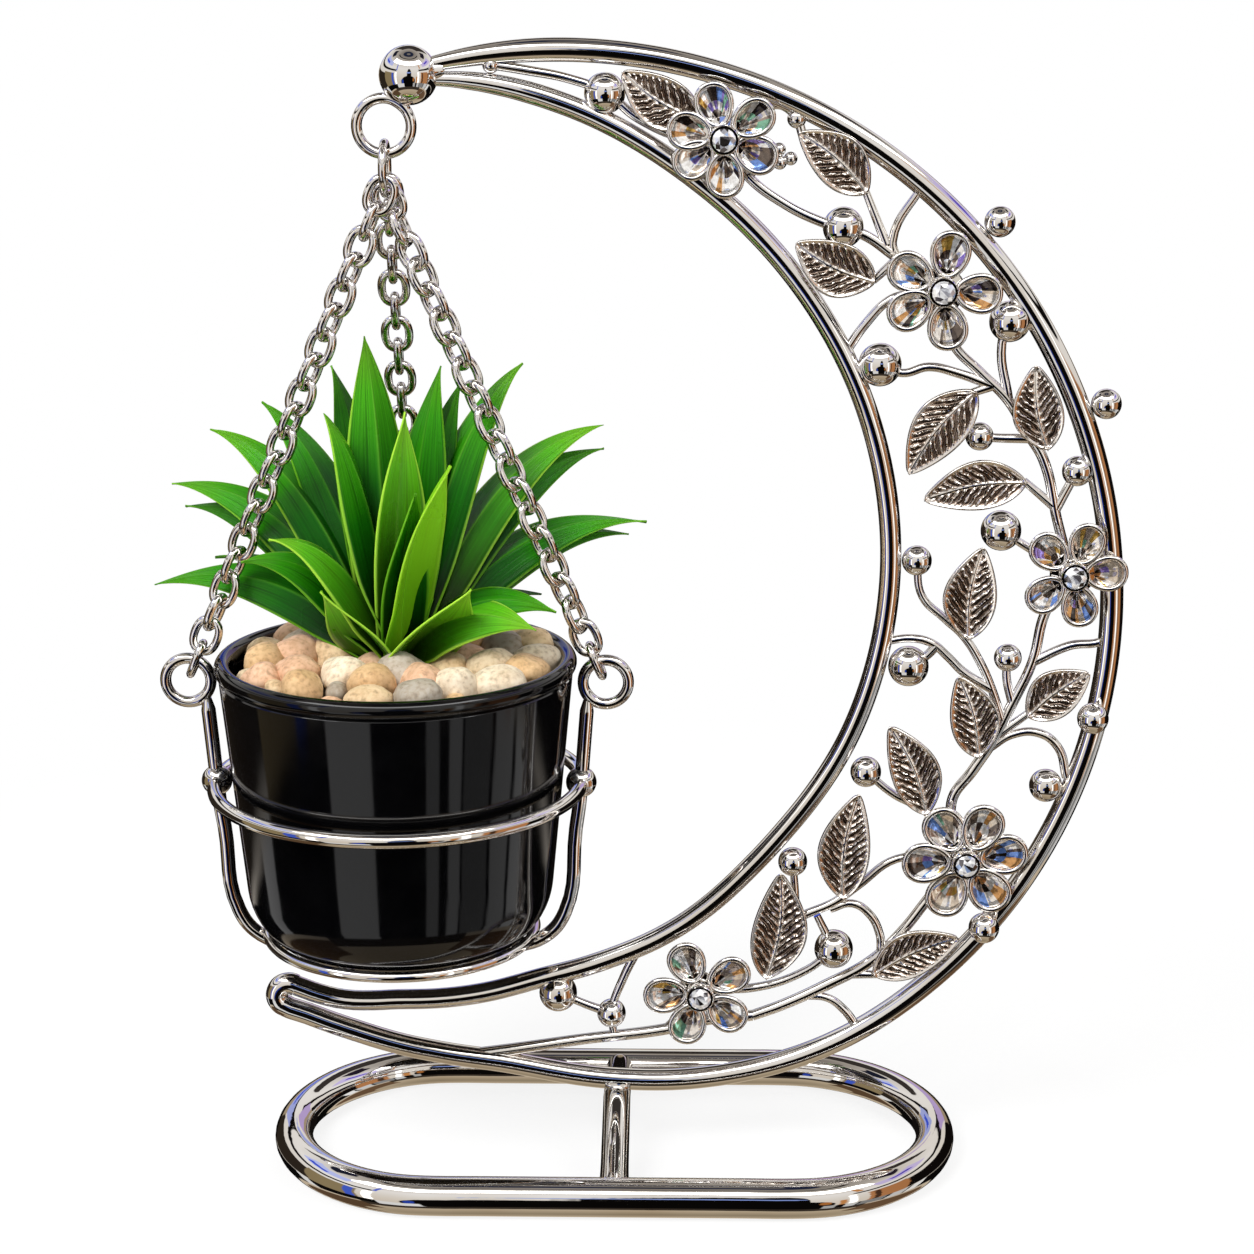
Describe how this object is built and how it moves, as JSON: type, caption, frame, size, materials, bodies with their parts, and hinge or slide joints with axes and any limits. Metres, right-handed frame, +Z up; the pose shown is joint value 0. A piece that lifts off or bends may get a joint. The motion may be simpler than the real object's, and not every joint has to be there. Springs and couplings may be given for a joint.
{
  "type": "plant stand",
  "caption": "Crescent-moon table stand in polished metal with a vine of leaves, berries and crystal flowers; a pot swings from its tip in a wire basket on chains.",
  "frame": {"origin": "on the floor, under the middle of the whole part's box", "axes": "+Z up, -Y towards the viewer, +X along the base towards the crescent's back"},
  "size_m": [0.269, 0.115, 0.3138],
  "materials": {
    "chrome": "polished nickel-chrome plate",
    "crystal": "clear faceted crystal with foil behind",
    "black_glaze": "glossy black glaze",
    "foam": "rigid floral foam",
    "river_stone": "tumbled river pebbles",
    "leaf": "satin artificial leaf"
  },
  "bodies": {
    "stand": {"base_ring": "chrome", "finial_ball": "chrome", "flower_1_petals": "crystal", "flower_1_setting": "chrome", "flower_1_stone": "crystal", "flower_2_petals": "crystal", "flower_2_setting": "chrome", "flower_2_stone": "crystal", "flower_3_petals": "crystal", "flower_3_setting": "chrome", "flower_3_stone": "crystal", "flower_4_petals": "crystal", "flower_4_setting": "chrome", "flower_4_stone": "crystal", "flower_5_petals": "crystal", "flower_5_setting": "chrome", "flower_5_stone": "crystal", "front_strut": "chrome", "hanging_ring": "chrome", "inner_rail": "chrome", "leaf_1": "chrome", "leaf_10": "chrome", "leaf_11": "chrome", "leaf_12": "chrome", "leaf_13": "chrome", "leaf_2": "chrome", "leaf_3": "chrome", "leaf_4": "chrome", "leaf_5": "chrome", "leaf_6": "chrome", "leaf_7": "chrome", "leaf_8": "chrome", "leaf_9": "chrome", "outer_rail": "chrome", "rear_strut": "chrome", "vine_bud": "chrome", "vine_foot": "chrome", "vine_high": "chrome", "vine_low": "chrome", "vine_middle": "chrome", "vine_top": "chrome"},
    "hanger": {"hanger_link": "chrome"},
    "basket": {"cradle_ring": "chrome", "hoop_front": "chrome", "hoop_rear_left": "chrome", "hoop_rear_right": "chrome", "left_chain": "chrome", "left_rod": "chrome", "left_side_ring": "chrome", "rear_chain": "chrome", "rear_rod": "chrome", "rear_side_ring": "chrome", "right_chain": "chrome", "right_rod": "chrome", "right_side_ring": "chrome"},
    "planter": {"pot": "black_glaze", "foam_plug": "foam", "pebble_bed": "river_stone", "plant": "leaf"}
  },
  "joints": [
    {"name": "hanger_tilt", "type": "hinge", "parent": "stand", "child": "hanger", "pos_m": [-0.06542, -0.0043, 0.28375], "axis": [1, 0, 0], "range_deg": [-20, 20]},
    {"name": "basket_swing", "type": "hinge", "parent": "hanger", "child": "basket", "pos_m": [-0.06542, -0.0043, 0.27381], "axis": [0, 1, 0], "range_deg": [-9, 18]},
    {"name": "pot_lift", "type": "slide", "parent": "basket", "child": "planter", "axis": [0, 0, 1], "range_m": [0, 0.002]}
  ]
}
